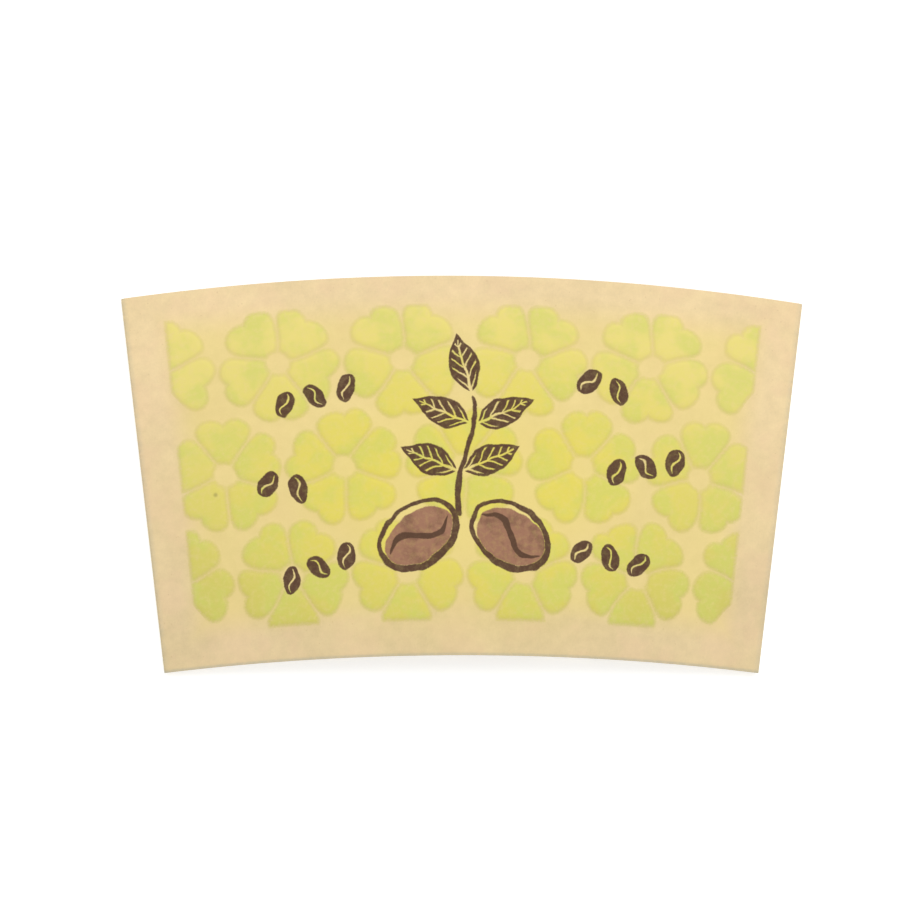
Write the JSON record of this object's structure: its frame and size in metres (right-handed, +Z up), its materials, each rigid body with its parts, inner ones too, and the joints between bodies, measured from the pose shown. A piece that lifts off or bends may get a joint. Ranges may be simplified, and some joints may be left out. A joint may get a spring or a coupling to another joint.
{
  "type": "coffee cup sleeve",
  "caption": "Paperboard sleeve for a hot drink cup, folded flat and glued at the back, with embossed, printed blossoms on the front.",
  "frame": {"origin": "on the ground under the middle of the outline, with the sleeve lying on its back panel", "axes": "+Z up out of the front panel, +Y towards the wide edge, +X to the right of the front panel"},
  "size_m": [0.1336, 0.0766, 0.0078],
  "materials": {
    "kraft_board": "uncoated kraft board, matte, printed in pale green and two browns"
  },
  "bodies": {
    "root": {"cup_sleeve": "kraft_board"}
  },
  "joints": []
}
